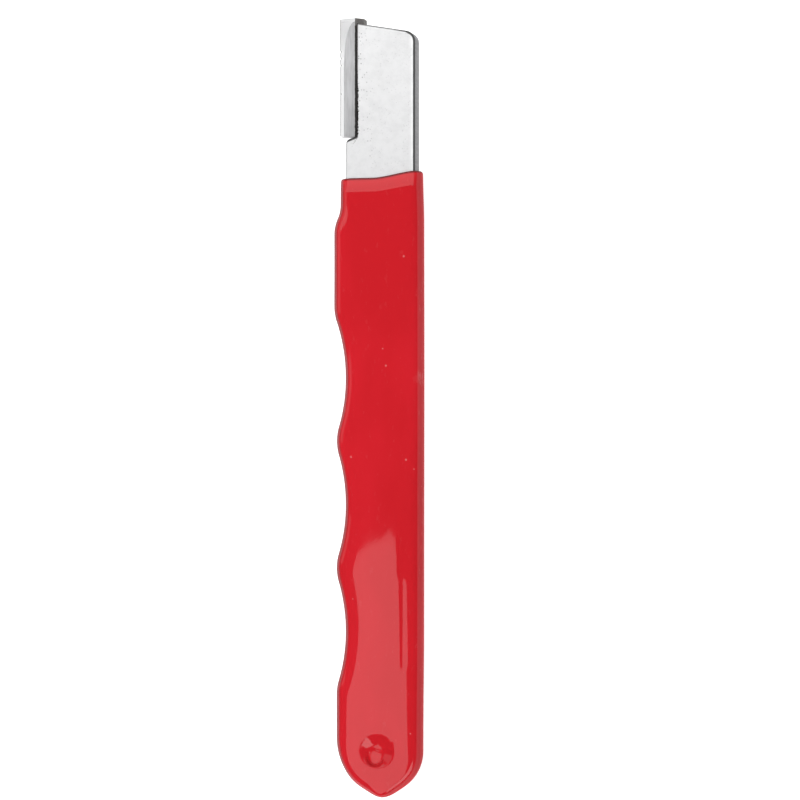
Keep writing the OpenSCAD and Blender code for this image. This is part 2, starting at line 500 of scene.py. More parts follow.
@dataclass(frozen=True)
class PlatedSteel:
    """Satin plated strip, with stamped side walls painted darker as shade, sooty flux beside the
    braze darkened further as painted shade, and painted shade along its edges and the notch's
    floor.

    Attributes:
        datum: the tool's place in the frame.
        notch: x of the notch's wall.
        slope: fall of the notch's floor in degrees.
        soot_shade_from: y at which the sooty, shaded band starts.
        soot_shade_to: y above which it is narrower.
        soot_shade_reach: its width below and above that.
        face: colour of the plating.
        cloud: colour of its duller patches.
        wall: colour of the stamped side walls, darker than their own finish as painted shade.
        roll: colour painted along the edge between a face and a wall as shade.
        soot_shade: colour of the sooty flux, also painted as shade in the corner by the slot and
            along the notch's floor.
    """

    datum: Datum
    notch: float
    slope: float
    soot_shade_from: float
    soot_shade_to: float
    soot_shade_reach: tuple[float, float] = (0.62, 0.34)
    face: tuple[float, float, float] = (0.905, 0.905, 0.91)
    cloud: tuple[float, float, float] = (0.865, 0.865, 0.87)
    wall: tuple[float, float, float] = (0.225, 0.225, 0.23)
    roll: tuple[float, float, float] = (0.10, 0.10, 0.10)
    soot_shade: tuple[float, float, float] = (0.02, 0.018, 0.016)

    def soot_shaded(self, bench: Bench) -> bpy.types.NodeSocket:
        """Marks the sooty flux beside the braze, darkened as painted shade in the corner, and
        painted shade along the notch's floor.

        Args:
            bench: the finish's bench.

        Returns:
            1 where the steel gets the sooty, shaded colour.
        """
        x = bench.past(0, self.notch + self.datum.x)
        y = bench.axis(bench.spot, 1)
        start, top = ((at + self.datum.y) * MM for at in (self.soot_shade_from, self.soot_shade_to))
        low_reach, high_reach = (reach * MM for reach in self.soot_shade_reach)
        reach = bench.ramp(y, top - 2.0 * MM, top + 1.5 * MM, low_reach, high_reach)
        near = bench.math("SUBTRACT", 1.0, bench.math("DIVIDE", x, reach), clamp=True)
        low = bench.ramp(y, start - 0.5 * MM, start)
        ragged = bench.times(bench.noise(0.24, 4.0, 0.75), bench.times(low, 1.5))
        # Sooty flux beside the braze, partly painted shade in the corner by the slot.
        beside = bench.ramp(bench.plus(bench.times(near, low), ragged), 1.2, 1.34)
        beside = bench.times(beside, bench.ramp(near, 0.0, 0.1))
        # Painted shade: a dark line along the notch's floor.
        floor = bench.math("MULTIPLY_ADD", x, math.tan(math.radians(self.slope)), start)
        under = bench.ramp(bench.math("SUBTRACT", floor, y), 0.3 * MM, 0.5 * MM, 1.0, 0.0)
        under = bench.times(under, bench.ramp(x, 0.0, 0.4 * MM, 0.85, 0.0))
        return bench.most(beside, under)

    def pitted(self, bench: Bench) -> bpy.types.NodeSocket:
        """Marks fine pits, most of them near the braze.

        Args:
            bench: the finish's bench.

        Returns:
            1 at a pit's middle.
        """
        pits = bench.times(bench.specks(0.42, 0.34), bench.ramp(bench.noise(1.7), 0.46, 0.55))
        x = bench.past(0, self.notch + self.datum.x)
        return bench.times(pits, bench.ramp(x, 0.6 * MM, 3.2 * MM, 1.0, 0.25))

    def edge_line_shade(self, bench: Bench, upright: bpy.types.NodeSocket) -> bpy.types.NodeSocket:
        """Marks the painted shade along the edges between a face and a wall, ragged, and strongest
        on edges that face the far side.

        Args:
            bench: the finish's bench.
            upright: how squarely the surface faces up or down.

        Returns:
            1 where the edge is painted with shade.
        """
        # Painted shade: a ragged dark line along the edges, weaker where an edge faces the finger
        # side.
        edge_wobble = bench.noise(0.3, 4.0, 0.75, (1.0, 0.6, 1.0))
        edge = bench.ramp(bench.math("MULTIPLY_ADD", edge_wobble, -0.02, upright), 0.945, 0.988, 1.0, 0.0)
        return bench.times(edge, bench.ramp(bench.axis(bench.normal, 0), 0.06, 0.2, 0.22, 1.0))

    def material(self) -> bpy.types.Material:
        """Makes the finish.

        Returns:
            The material.
        """
        bench = Bench("plated_steel")
        upright = bench.math("ABSOLUTE", bench.axis(bench.normal, 2))
        # Side walls: their own streaky finish, painted darker as shade.
        wall = bench.ramp(upright, 0.08, 0.25, 1.0, 0.0)
        clouds = bench.ramp(bench.noise(1.1, 5.0, 0.65), 0.35, 0.7)
        grain = bench.noise(0.22, 4.0, 0.65)
        shear = bench.noise(0.35, 4.0, 0.6, (1.0, 1.0, 0.12))
        soot_shade, pits = self.soot_shaded(bench), self.pitted(bench)
        plated = bench.mix(clouds, self.face, self.cloud)
        plated = bench.mix(bench.times(pits, 0.8), plated, self.wall)
        # Painted shade: the dark line along the edges.
        plated = bench.mix(self.edge_line_shade(bench, upright), plated, self.roll)
        sheared_and_shaded = bench.mix(bench.ramp(shear, 0.3, 0.7), self.wall, shade(self.wall, 0.75))
        relief = bench.bump(bench.times(shear, wall), 0.03, bench.bump(grain, 0.004))
        bench.set(
            Base_Color=bench.mix(soot_shade, bench.mix(wall, plated, sheared_and_shaded), self.soot_shade),
            Metallic=1.0,
            Roughness=bench.plus(bench.ramp(clouds, 0.0, 1.0, 0.5, 0.56), bench.times(soot_shade, 0.3)),
            Normal=bench.bump(pits, -0.02, relief),
        )
        return bench.material


@dataclass(frozen=True)
class GroundCarbide:
    """Ground carbide, with its bevel painted lighter than its facets as a highlight and its
    unground root dark, partly as painted shade beside the steel.

    Attributes:
        datum: the tool's place in the frame.
        root: x at which the grinding stops.
        edge: x of the cutting edge.
        chips: y of each chip out of that edge.
        bevel: colour of the ground bevel, painted lighter than the facets as a highlight.
        facet: colour of the front and back facets, duller from their grind and darker than the
            bevel as painted shade.
        unground_shade: colour of the unground root, painted darker as shade in the corner beside
            the steel's cheek.
    """

    datum: Datum
    root: float
    edge: float
    chips: tuple[float, ...]
    bevel: tuple[float, float, float] = (0.95, 0.95, 0.955)
    facet: tuple[float, float, float] = (0.62, 0.62, 0.63)
    unground_shade: tuple[float, float, float] = (0.13, 0.125, 0.12)

    def material(self) -> bpy.types.Material:
        """Makes the finish.

        Returns:
            The material.
        """
        bench = Bench("ground_carbide")
        # Unground root, partly painted shade: the strip beside the steel's cheek is darkened where
        # shade falls in the corner.
        unground_shade = bench.ramp(bench.past(0, self.root + self.datum.x), -0.03 * MM, 0.03 * MM)
        wheel = bench.noise(0.16, 5.0, 0.6, (1.0, 0.05, 1.0))
        patch = bench.noise(1.4, 3.0, 0.5, (1.0, 0.35, 1.0))
        tone = bench.plus(bench.times(wheel, 0.55), bench.times(patch, 0.45))
        facet = bench.mix(bench.ramp(tone, 0.34, 0.66), shade(self.facet, 0.72), self.facet)
        # Painted highlight: faces that lean toward the cutting edge's side get the light bevel
        # colour.
        lit_bevel = bench.ramp(bench.axis(bench.normal, 0), -0.2, -0.1, 1.0, 0.0)
        worn = bench.ramp(bench.past(0, self.edge + self.datum.x), 0.06 * MM, 0.16 * MM, 0.7, 0.0)
        for y in self.chips:
            chip = bench.round_spot(self.datum.place(self.edge + 0.12, y, 0.0), 0.2)
            worn = bench.most(worn, bench.times(chip, 0.9))
        ground = bench.mix(worn, bench.mix(lit_bevel, facet, self.bevel), self.unground_shade)
        crust = bench.mix(bench.noise(0.25, 4.0), self.unground_shade, shade(self.unground_shade, 2.4))
        polish = bench.ramp(wheel, 0.3, 0.7, 0.44, 0.54)
        duller = bench.most(unground_shade, bench.times(lit_bevel, 0.5))
        bench.set(
            Base_Color=bench.mix(unground_shade, ground, crust),
            Metallic=1.0,
            Roughness=bench.math("MULTIPLY_ADD", duller, 0.2, polish),
            Normal=bench.bump(bench.noise(0.2, 4.0), 0.02, bench.bump(wheel, 0.003), 0.4),
        )
        return bench.material


@dataclass(frozen=True)
class SootyBraze:
    """Braze metal under a dark crust of flux.

    Attributes:
        crust: colour of the flux.
        metal: colour of the braze where it shows.
    """

    crust: tuple[float, float, float] = (0.016, 0.014, 0.013)
    metal: tuple[float, float, float] = (0.16, 0.13, 0.08)

    def material(self) -> bpy.types.Material:
        """Makes the finish.

        Returns:
            The material.
        """
        bench = Bench("sooty_braze")
        bare = bench.ramp(bench.noise(0.3, 4.0, 0.7), 0.6, 0.75)
        bench.set(
            Base_Color=bench.mix(bare, self.crust, self.metal),
            Metallic=bench.times(bare, 0.9),
            Roughness=bench.ramp(bench.noise(0.15), 0.3, 0.7, 0.55, 0.8),
            Normal=bench.bump(bench.noise(0.12, 4.0, 0.7), 0.03),
        )
        return bench.material


@dataclass(frozen=True)
class DippedVinyl:
    """Glossy red plastisol, thinner and lighter toward the rim, with painted shade along the rim
    and on the sides.

    Attributes:
        datum: the tool's place in the frame.
        rim: y of the rim on the finger side.
        rise: how much higher the rim stands on the far side.
        rise_from: x at which it begins to rise.
        skin: half width of the coated strip.
        red: main colour.
        deep: colour where the coat is thick.
        thin: colour of the thin film at the rim.
        chalk: colour of rubbed marks.
        nibs: places of specks caught under the skin.
        scuff: place of a knock on the far side.
    """

    datum: Datum
    rim: float
    rise: float
    rise_from: float
    skin: float
    red: tuple[float, float, float] = (0.615, 0.014, 0.023)
    deep: tuple[float, float, float] = (0.565, 0.012, 0.019)
    thin: tuple[float, float, float] = (0.62, 0.021, 0.029)
    chalk: tuple[float, float, float] = (0.75, 0.20, 0.20)
    nibs: tuple[tuple[float, float], ...] = ((1.1, 66.4), (-4.4, 52.4), (4.25, 52.0), (3.9, 83.1))
    scuff: tuple[float, float] = (6.3, 64.3)

    def rubbed(self, bench: Bench, upright: bpy.types.NodeSocket) -> bpy.types.NodeSocket:
        """Marks the rubbed streaks, most of them on the sides, and the knock.

        Args:
            bench: the finish's bench.
            upright: how squarely the surface faces up or down.

        Returns:
            1 where the skin is rubbed.
        """
        knock = bench.times(
            bench.round_spot(self.datum.place(*self.scuff, 0.0), 1.6),
            bench.ramp(bench.axis(bench.spot, 2), 2.6 * MM, 3.4 * MM, 0.0, 0.14),
        )
        streaks = bench.plus(bench.noise(0.45, 5.0, 0.75, (0.6, 0.22, 1.0)), knock)
        return bench.times(
            bench.ramp(streaks, 0.6, 0.66), bench.ramp(upright, 0.3, 0.9, 1.0, 0.12)
        )

    def dusty(self, bench: Bench) -> bpy.types.NodeSocket:
        """Marks specks caught under the skin.

        Args:
            bench: the finish's bench.

        Returns:
            1 at a speck's middle.
        """
        dust = bench.times(bench.specks(3.4, 0.05), bench.ramp(bench.noise(14.0), 0.42, 0.5))
        spots = (bench.round_spot(self.datum.place(*at, 0.0), 0.22) for at in self.nibs)
        return bench.most(dust, *spots)

    def material(self) -> bpy.types.Material:
        """Makes the finish.

        Returns:
            The material.
        """
        bench = Bench("dipped_vinyl")
        x, y = (bench.axis(bench.spot, i) for i in range(2))
        across = bench.axis(bench.normal, 0)
        upright = bench.math("ABSOLUTE", bench.axis(bench.normal, 2))
        mid, far = ((self.datum.x + at) * MM for at in (self.rise_from, self.skin))
        top = bench.plus(
            bench.ramp(x, mid, far, 0.0, self.rise * MM), (self.rim + self.datum.y) * MM
        )
        below = bench.math("SUBTRACT", top, y)
        film = bench.ramp(below, -0.2 * MM, 2.2 * MM, 1.0, 0.0)
        # Painted shade: a dark line just below the rim.
        lip = bench.ramp(below, 0.14 * MM, 0.48 * MM, 1.0, 0.0)
        # Painted shade on the sides: the finger side darkened most, the far side a little.
        finger_shade = bench.ramp(across, -0.82, -0.4, 0.65, 0.0)
        far_shade = bench.ramp(across, 0.6, 0.95, 0.0, 0.2)
        # Painted shade from the rim line and both sides, mixed toward a dark red below.
        dark = bench.most(bench.times(lip, 0.95), bench.plus(finger_shade, far_shade))
        dull = bench.most(bench.ramp(upright, 0.3, 0.95, 0.72, 0.0), bench.times(lip, 0.3))
        flow = bench.ramp(bench.noise(9.0, 2.0, 0.5, (1.0, 0.4, 1.0)), 0.35, 0.65)
        dust = self.dusty(bench)
        skin = bench.mix(film, bench.mix(flow, self.red, self.deep), self.thin)
        skin = bench.mix(bench.times(self.rubbed(bench, upright), 0.4), skin, self.chalk)
        skin = bench.mix(bench.times(dust, 0.6), skin, self.chalk)
        bench.set(
            Base_Color=bench.mix(dark, skin, shade(self.red, 0.22)),
            Roughness=bench.plus(bench.ramp(bench.noise(1.2, 4.0), 0.3, 0.7, 0.03, 0.045), dull),
            IOR=1.5,
            Specular_IOR_Level=0.35,
            Normal=bench.bump(dust, 0.03, bench.bump(bench.noise(2.2, 2.0, 0.5), 0.0012)),
        )
        return bench.material


@dataclass(frozen=True)
class OutlinePoint:
    """Point on an outline that is made of arcs.

    Attributes:
        x: arc centre's x.
        y: arc centre's y.
        radius: arc's radius, or 0 on a straight edge.
        angle: direction from the centre, in degrees.
        bend: whether the outline bulges or hollows here.
        full: how much the vinyl hangs here, from 0 to 1.
    """

    x: float
    y: float
    radius: float
    angle: float
    bend: Bend = Bend.CREST
    full: float = 0.0

    def drawn_in(self, depth: float) -> tuple[float, float]:
        """Moves the point square to the outline, into the tool.

        Args:
            depth: distance moved.

        Returns:
            The new x and y.
        """
        turn = math.radians(self.angle)
        reach = self.radius - depth * self.bend.value
        return self.x + reach * math.cos(turn), self.y + reach * math.sin(turn)


@dataclass(frozen=True)
class GripOutline:
    """Plan outline of the dipped grip, as a finger side and a far side with matching points.

    Attributes:
        half_width: half the steel strip's width.
        coat: vinyl on the strip's edges.
        hole_y: height of the hang hole.
        scallop_y: height of the lowest finger scallop.
        pitch: distance between scallops.
        scallops: number of scallops.
        depth: depth of a scallop.
        scallop_r: radius of a scallop.
        crest_out: how far the crests stand out past the strip.
        top_crest_out: how far the top crest stands out past the strip.
        shoulder_y: height at which the shoulder begins.
        shoulder_out: radius of the shoulder's crest.
        shoulder_in: radius of the shoulder's hollow.
        rim_y: height of the rim on the finger side.
        drip_spread: width of the drip in degrees about the hang hole.
        drip_lean: lean of the drip in degrees.
        blend_from: angle at which the butt's arc blends into the crest.
        fine: distance between points near the butt and rim.
        coarse: distance between points elsewhere.
        rim_zone: length below the rim where points lie closest.
        rim_step: distance between points there.
        butt_steps: points on each half of the drip.
    """

    half_width: float = 5.425
    coat: float = 1.05
    hole_y: float = 7.1
    scallop_y: float = 25.5
    pitch: float = 19.55
    scallops: int = 3
    depth: float = 1.43
    scallop_r: float = 26.5
    crest_out: float = 0.63
    top_crest_out: float = 1.03
    shoulder_y: float = 86.6
    shoulder_out: float = 6.0
    shoulder_in: float = 5.6
    rim_y: float = 95.25
    drip_spread: float = 17.7
    drip_lean: float = 2.0
    blend_from: float = 215.0
    fine: float = 0.14
    coarse: float = 0.36
    rim_zone: float = 0.5
    rim_step: float = 0.055
    butt_steps: int = 46

    @property
    def skin(self) -> float:
        """Half width of the coated strip."""
        return self.half_width + self.coat

    @property
    def crest(self) -> float:
        """Reach of the lower crests from the centreline."""
        return self.skin + self.crest_out

    @property
    def top_crest(self) -> float:
        """Reach of the top crest from the centreline."""
        return self.skin + self.top_crest_out

    @property
    def valley(self) -> float:
        """Reach of the scallops' floors from the centreline."""
        return self.crest - self.depth

    def stretch(
        self,
        centre: tuple[float, float],
        radius: float,
        start: float,
        end: float,
        bend: Bend = Bend.CREST,
        step: float = 0.0,
    ) -> list[OutlinePoint]:
        """Lists the points of one arc, without its first.

        Args:
            centre: arc's centre.
            radius: arc's radius.
            start: first angle in degrees.
            end: last angle in degrees.
            bend: the way it bends.
            step: distance between points, or 0 for the coarse one.

        Returns:
            The points in order.
        """
        length = radius * abs(math.radians(end - start))
        count = max(2, math.ceil(length / (step or self.coarse)))
        return [OutlinePoint(*centre, radius, a, bend) for a in spread(start, end, count, False)]

    def upright(self, x: float, start: float, end: float, step: float = 0.0) -> list[OutlinePoint]:
        """Lists the points of a straight stretch along the tool, without its first."""
        count = max(1, math.ceil(abs(end - start) / (step or self.coarse)))
        side = 0.0 if x > 0 else 180.0
        return [OutlinePoint(x, y, 0.0, side) for y in spread(start, end, count, False)]

    def butt(self, angles: Sequence[float]) -> list[OutlinePoint]:
        """Lists points round the butt, which swells into the drip.

        Args:
            angles: directions from the hang hole, in degrees.

        Returns:
            The points in order.
        """
        drip = self.hole_y - self.skin
        points = []
        for angle in angles:
            off = (angle - 270.0 - self.drip_lean) / self.drip_spread
            hang = math.exp(-off * off)
            points.append(OutlinePoint(0.0, self.hole_y, self.skin + drip * hang, angle, full=hang))
        return points

    def finger_side(self) -> list[OutlinePoint]:
        """Lists the finger side's points from the drip up to the rim.

        Returns:
            The points in order.
        """
        total = ((self.pitch / 2) ** 2 + self.depth**2) / (2 * self.depth)
        crest_r = total - self.scallop_r
        lean = math.degrees(math.asin(self.pitch / 2 / total))
        low = math.sqrt(2 * total * self.depth - self.depth**2)
        drop = self.top_crest - self.valley
        high = math.sqrt(2 * total * drop - drop**2)
        low_lean, high_lean = (math.degrees(math.asin(h / total)) for h in (low, high))
        turn = math.radians(self.blend_from)
        wide = (self.crest + self.skin * math.cos(turn)) / (1 + math.cos(turn))
        wide_at = (
            -(wide - self.skin) * math.cos(turn),
            self.hole_y - (wide - self.skin) * math.sin(turn),
        )
        points = self.butt(spread(270.0 + self.drip_lean, self.blend_from, self.butt_steps))
        points += self.stretch(wide_at, wide, self.blend_from, 180.0, step=self.fine)
        points += self.upright(-self.crest, wide_at[1], self.scallop_y - low)
        low_at = (crest_r - self.crest, self.scallop_y - low)
        points += self.stretch(low_at, crest_r, 180.0, 180.0 - low_lean)
        for i in range(self.scallops):
            y = self.scallop_y + i * self.pitch
            first, last = i == 0, i == self.scallops - 1
            points += self.stretch(
                (-self.valley - self.scallop_r, y),
                self.scallop_r,
                -(low_lean if first else lean),
                high_lean if last else lean,
                Bend.HOLLOW,
            )
            if not last:
                points += self.stretch(
                    (crest_r - self.crest, y + self.pitch / 2), crest_r, 180.0 + lean, 180.0 - lean
                )
        top = self.scallop_y + (self.scallops - 1) * self.pitch + high
        points += self.stretch((crest_r - self.top_crest, top), crest_r, 180.0 + high_lean, 180.0)
        points += self.upright(-self.top_crest, top, self.shoulder_y)
        both = self.shoulder_out + self.shoulder_in
        rise = math.sqrt(2 * both * self.top_crest_out - self.top_crest_out**2)
        tip = math.degrees(math.asin(rise / both))
        step = self.fine * 1.6
        out_at = (self.shoulder_out - self.top_crest, self.shoulder_y)
        in_at = (-self.skin - self.shoulder_in, self.shoulder_y + rise)
        points += self.stretch(out_at, self.shoulder_out, 180.0, 180.0 - tip, step=step)
        points += self.stretch(in_at, self.shoulder_in, -tip, 0.0, Bend.HOLLOW, step)
        points += self.upright(-self.skin, in_at[1], self.rim_y - self.rim_zone, self.fine)
        points += self.upright(-self.skin, self.rim_y - self.rim_zone, self.rim_y, self.rim_step)
        return points

    def far_side(self, finger: Sequence[OutlinePoint]) -> list[OutlinePoint]:
        """Lists the far side's points, one for each on the finger side.

        Args:
            finger: the finger side's points.

        Returns:
            The points in the same order.
        """
        round_butt = sum(1 for p in finger if p.angle >= self.blend_from) + sum(
            1 for p in finger if 180.0 < p.angle < self.blend_from and p.y < self.scallop_y / 2
        )
        points = self.butt(spread(270.0 + self.drip_lean, 360.0, round_butt - 1))
        for p in finger[round_butt:]:
            points.append(OutlinePoint(self.skin, max(p.drawn_in(0.0)[1], self.hole_y), 0.0, 0.0))
        return points


@dataclass(frozen=True)
class Nub:
    """Level spot where vinyl has gathered inside a dimple.

    Attributes:
        x: place across the tool, from the dimple's middle.
        y: place along the tool, from the dimple's middle.
        reach: its radius.
        deep: its depth below the face.
    """

    x: float
    y: float
    reach: float
    deep: float

    def weight(self, x: float, y: float) -> float:
        """Tells how fully the spot shapes a place, from 0 to 1."""
        return 1 - smooth((math.hypot(x - self.x, y - self.y) / self.reach - 0.66) / 0.34)


@dataclass
class VinylGrip:
    """Dipped grip: one skin over the tang, with a web that closes the hang hole.

    Attributes:
        datum: the tool's place in the frame.
        outline: plan outline.
        steel_t: thickness of the strip.
        coat: vinyl on the strip's faces.
        roll_w: width over which a face rolls off into the finger side.
        far_roll_w: width over which it rolls off into the far side.
        drip_roll_w: width over which it rolls off into the drip.
        roll_face: how late the roll-off leaves the face; more is later.
        roll_side: how full the side is.
        roll_steps: points along the roll-off.
        columns: points across a face.
        rim_rise: how much higher the rim stands on the far side.
        rise_from: x at which it begins to rise.
        rise_h: length below the rim over which the rise fades.
        rim_taper: length over which the film thins toward the rim.
        rim_thin: share of the coat that it loses there.
        lip_h: height of the lip at the very top.
        lip_thin: share of the coat that the lip loses as well.
        rim_corner: radius of the rim's corners.
        dimple_r: radius of the web's dimples.
        dimple_depth: depth of those dimples.
        dimple_at: x and y of their middle.
        nubs: level spots inside them.
        sag: size of the slow waves that dipping leaves.
        swell: how far the far side stands out at its fullest.
        swell_y: y of that, and the distance over which it fades.
        butt_draw: how far it draws in at the butt, the y where that ends, and its length.
        rim_draw: how far it draws in at the rim, the y where that starts, and its length.
        calm_h: length below the rim over which the waves die down.
        run_x: x of the run on the front face.
        run_y: lowest and highest y of that run.
        run_w: its width to the left and right of its deepest line.
        run_depth: depth of that run.
        slump_x: x past which the front face falls away above the run.
        slump: fall there, as a share of the distance.
        slump_top: y at which the slump has faded out.
    """

    datum: Datum
    outline: GripOutline
    steel_t: float = 3.5
    coat: float = 0.65
    roll_w: float = 3.0
    far_roll_w: float = 2.4
    drip_roll_w: float = 1.3
    roll_face: float = 3.6
    roll_side: float = 2.2
    roll_steps: int = 12
    columns: int = 36
    rim_rise: float = 1.05
    rise_from: float = -1.5
    rise_h: float = 12.0
    rim_taper: float = 2.1
    rim_thin: float = 0.58
    lip_h: float = 0.1
    lip_thin: float = 0.2
    rim_corner: float = 0.5
    dimple_r: float = 2.65
    dimple_depth: float = 0.95
    dimple_at: tuple[float, float] = (-0.32, 7.35)
    nubs: tuple[Nub, ...] = (Nub(-0.38, -1.14, 1.42, 0.8),)
    sag: float = 0.008
    swell: float = 0.05
    swell_y: tuple[float, float] = (66.0, 20.0)
    butt_draw: tuple[float, float, float] = (0.12, 26.0, 18.0)
    rim_draw: tuple[float, float, float] = (0.14, 88.0, 6.0)
    calm_h: float = 5.0
    run_x: float = 3.74
    run_y: tuple[float, float] = (19.0, 35.6)
    run_w: tuple[float, float] = (0.3, 0.5)
    run_depth: float = 0.034
    slump_x: float = 2.95
    slump: float = 0.065
    slump_top: float = 50.0

    @property
    def middle(self) -> float:
        """Height of the middle of the thickness."""
        return self.coat + self.steel_t / 2

    def levels(self, width: float) -> list[tuple[float, float]]:
        """Lists a roll-off from back to front.

        Args:
            width: width over which the face rolls off.

        Returns:
            Pairs of distance drawn in and share of the half thickness.
        """
        half = []
        for turn in spread(0.0, math.pi / 2, self.roll_steps):
            inward = width * (1 - abs(math.cos(turn)) ** (2 / self.roll_face))
            half.append((inward, abs(math.sin(turn)) ** (2 / self.roll_side)))
        half[-1] = (width, 1.0)
        return [(d, -h) for d, h in reversed(half[1:])] + half

    def film(self, below: float) -> float:
        """Tells how full the coat is at a distance below the rim, as a share."""
        thin = 1 - min(below / self.rim_taper, 1.0)
        lip = 1 - min(below / self.lip_h, 1.0)
        return 1 - self.rim_thin * thin**1.15 - self.lip_thin * lip * lip

    def rim_turn(self, below: float) -> float:
        """Tells how far the rim's corners are drawn in at a distance below the rim."""
        near = self.rim_corner - min(below, self.rim_corner)
        return self.rim_corner - math.sqrt(max(self.rim_corner**2 - near**2, 0.0))

    def dent(self, x: float, y: float) -> float:
        """Measures a dimple's depth at a spot.

        Args:
            x: distance from its middle, across the tool.
            y: distance from its middle, along the tool.

        Returns:
            The depth, 0 outside the dimple.
        """
        off = math.hypot(x, y) / self.dimple_r
        deep = self.dimple_depth * (1 - off**1.7) if off < 1 else 0.0
        for nub in self.nubs:
            deep = blend(deep, nub.deep, nub.weight(x, y))
        return deep

    def bow(self, y: float) -> float:
        """Measures how far the far side stands out from a straight line.

        Args:
            y: height.

        Returns:
            The distance, negative where the side draws in.
        """
        middle, reach = self.swell_y
        butt, end, butt_h = self.butt_draw
        rim, start, rim_h = self.rim_draw
        swell = self.swell * math.exp(-(((y - middle) / reach) ** 2))
        return swell - butt * smooth((end - y) / butt_h) - rim * smooth((y - start) / rim_h)

    def wave(self, x: float, y: float, side: Side) -> float:
        """Shapes the slow waves of a face.

        Args:
            x: spot's x.
            y: spot's y.
            side: face of the tool.

        Returns:
            The waves' height, about -1 to 1.
        """
        long_seed, short_seed = (3.0, 15.0) if side is Side.FRONT else (9.0, 21.0)
        wave = noise.noise(Vector((x * 0.10, y * 0.055, long_seed)))
        return wave + 0.4 * noise.noise(Vector((x * 0.3, y * 0.16, short_seed)))

    def sunk(self, x: float, y: float) -> float:
        """Measures how far the run, and the slump above it, sink the front face.

        Args:
            x: spot's x.
            y: spot's y.

        Returns:
            The depth.
        """
        low, high = self.run_y
        along = smooth((y - low) / 2.0) * smooth((high - y) / 3.0)
        width = self.run_w[1] if x > self.run_x else self.run_w[0]
        run = self.run_depth * along * math.exp(-(((x - self.run_x) / width) ** 2))
        above = smooth((y - high + 2.4) / 2.6) * smooth((self.slump_top - y) / 9.0)
        return run + self.slump * max(x - self.slump_x, 0.0) * above

    def dipped(self, x: float, y: float, lift: float) -> Vector:
        """Adds what dipping does to the plain form.

        Args:
            x: spot's x.
            y: spot's y.
            lift: height above the middle, negative on the back.

        Returns:
            The spot in the frame.
        """
        shape, half = self.outline, self.steel_t / 2 + self.coat
        below = shape.rim_y - y
        share = lift / half
        calm = smooth(below / self.calm_h)
        side = Side.FRONT if share > 0 else Side.BACK
        lift += self.sag * calm * (self.wave(x, y, side) * share - 0.6 * max(share, 0.0))
        lift -= math.copysign(self.dent(x - self.dimple_at[0], y - self.dimple_at[1]), share)
        lift -= self.sunk(x, y) if share > 0.5 else 0.0
        slack = 0.03 * calm * noise.noise(Vector((0.0, y * 0.08, 5.0)))
        x += (self.bow(y) if x > 0 else slack) * x / shape.skin
        rise = self.rim_rise * smooth((x - self.rise_from) / (shape.skin - self.rise_from))
        y += rise * smooth(1 - below / self.rise_h)
        return self.datum.place(x, y, self.middle + lift)

    def row(self, near: OutlinePoint, far: OutlinePoint) -> list[Vector]:
        """Places one ring of the skin.

        Args:
            near: point on the finger side.
            far: matching point on the far side.

        Returns:
            Spots up the finger side, over the front, down the far side and along the back.
        """
        y = near.drawn_in(0.0)[1]
        below = max(self.outline.rim_y - y, 0.0)
        half = self.steel_t / 2 + self.coat * self.film(below)
        turn = self.rim_turn(below)
        widths = (self.roll_w, self.far_roll_w)
        left, right = (
            [
                (*point.drawn_in(d + turn), h * half)
                for d, h in self.levels(blend(width, self.drip_roll_w, point.full))
            ]
            for point, width in zip((near, far), widths, strict=True)
        )
        shares = spread(0.0, 1.0, self.columns, False)[:-1]
        front, back = (
            [(blend(a[0], b[0], s), blend(a[1], b[1], s), a[2]) for s in steps]
            for a, b, steps in (
                (left[-1], right[-1], shares),
                (left[0], right[0], shares[::-1]),
            )
        )
        return [self.dipped(*spot) for spot in (*left, *front, *reversed(right), *back)]

    def build(self, body: bpy.types.Object) -> bpy.types.Object:
        """Makes the grip.

        Args:
            body: the steel that it is dipped over.

        Returns:
            The grip's piece.
        """
        near = self.outline.finger_side()
        rows = [self.row(a, b) for a, b in zip(near, self.outline.far_side(near), strict=True)]
        shut = [Vector((p.x, p.y, self.middle * MM)) for p in rows[-1]]
        bm = bmesh.new()
        sweep(bm, first_ring(bm, rows[0]), [*rows[1:], shut])
        grip = make_piece(bm, "vinyl_skin", 60.0)
        carve(grip, body, 60.0)
        return grip

    def dress(self, grip: bpy.types.Object) -> None:
        """Gives the grip its finish and its place in the frame."""
        shape = self.outline
        finish = DippedVinyl(self.datum, shape.rim_y, self.rim_rise, self.rise_from, shape.skin)
        give_finish(grip, finish.material())
        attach(grip, "root")
        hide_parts("vinyl_grip")


